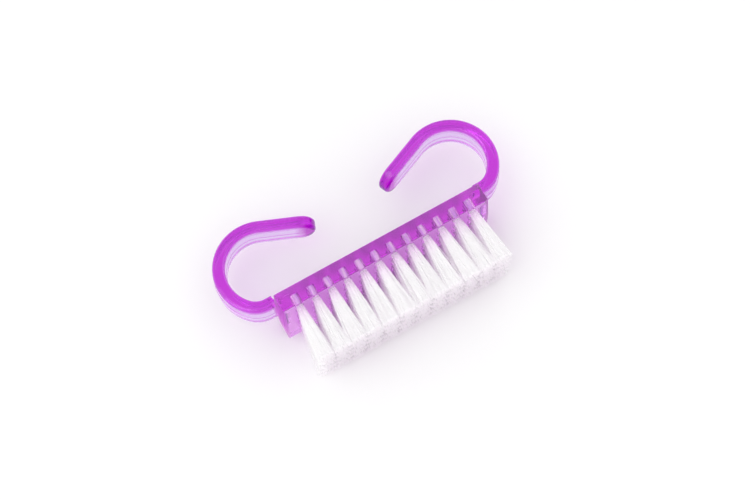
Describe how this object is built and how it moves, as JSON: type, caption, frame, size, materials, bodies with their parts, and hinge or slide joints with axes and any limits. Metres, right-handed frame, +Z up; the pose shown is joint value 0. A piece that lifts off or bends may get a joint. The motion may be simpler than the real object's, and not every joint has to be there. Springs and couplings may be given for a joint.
{
  "type": "nail brush",
  "caption": "Hand-held brush of one flat moulded plate with rows of bristle tufts on its face and two finger hooks curling behind it, lying on its long side",
  "frame": {"origin": "middle of the long side face of the plate that the brush lies on: half way along the plate, half way through its thickness", "axes": "X runs along the plate from the left hook to the right hook, +Y points from the plate to the finger hooks and -Y to the bristle tips, +Z points up from the side face it lies on"},
  "size_m": [0.065, 0.035, 0.0175],
  "materials": {
    "translucent_plastic": "polished, translucent magenta-purple",
    "bristle_nylon": "satin, fine filaments",
    "anchor_brass": "plain wire, flattened"
  },
  "bodies": {
    "root": {"handle_body": "translucent_plastic", "tuft_column_01": "bristle_nylon", "tuft_column_02": "bristle_nylon", "tuft_column_03": "bristle_nylon", "tuft_column_04": "bristle_nylon", "tuft_column_05": "bristle_nylon", "tuft_column_06": "bristle_nylon", "tuft_column_07": "bristle_nylon", "tuft_column_08": "bristle_nylon", "tuft_column_09": "bristle_nylon", "tuft_column_10": "bristle_nylon", "tuft_column_11": "bristle_nylon", "tuft_column_12": "bristle_nylon", "anchor_column_01": "anchor_brass", "anchor_column_02": "anchor_brass", "anchor_column_03": "anchor_brass", "anchor_column_04": "anchor_brass", "anchor_column_05": "anchor_brass", "anchor_column_06": "anchor_brass", "anchor_column_07": "anchor_brass", "anchor_column_08": "anchor_brass", "anchor_column_09": "anchor_brass", "anchor_column_10": "anchor_brass", "anchor_column_11": "anchor_brass", "anchor_column_12": "anchor_brass"}
  },
  "joints": []
}
